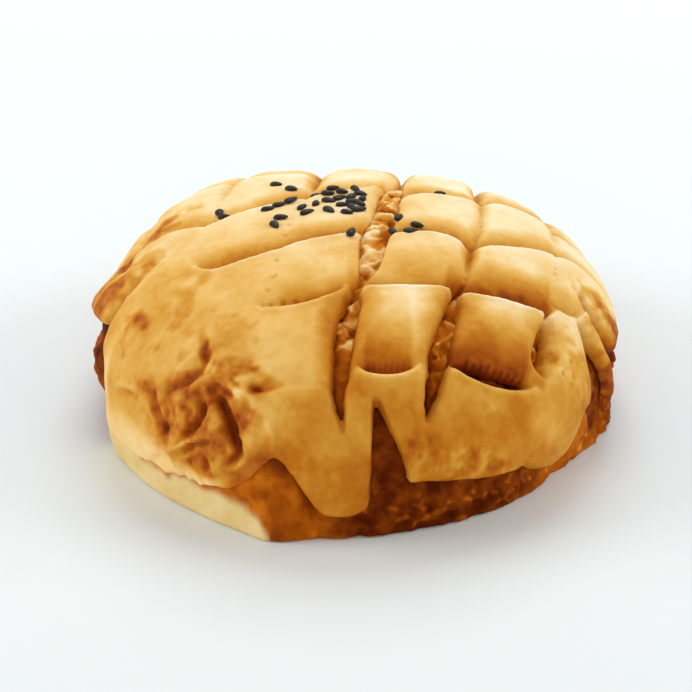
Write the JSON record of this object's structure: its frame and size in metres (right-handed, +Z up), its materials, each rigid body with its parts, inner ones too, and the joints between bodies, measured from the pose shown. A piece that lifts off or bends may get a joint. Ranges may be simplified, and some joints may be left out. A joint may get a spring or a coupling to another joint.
{
  "type": "pineapple bun",
  "caption": "Round domed bun under a scored golden cookie-dough crust, with torn cuts, one crumpled side and a cluster of black sesame seeds.",
  "frame": {"origin": "centre of the flat underside, on the surface the bun rests on", "axes": "+Z up; the wide open score cuts and the crumpled side face -Y, with the crumpled side towards -X"},
  "size_m": [0.1116, 0.1136, 0.043],
  "materials": {
    "bread": "browned, rough bread crust with open crumb in the cuts",
    "cookie_crust": "baked cookie dough, satin, golden, browned at the edges"
  },
  "bodies": {
    "root": {"bread": "bread", "cookie_crust": "cookie_crust"}
  },
  "joints": []
}
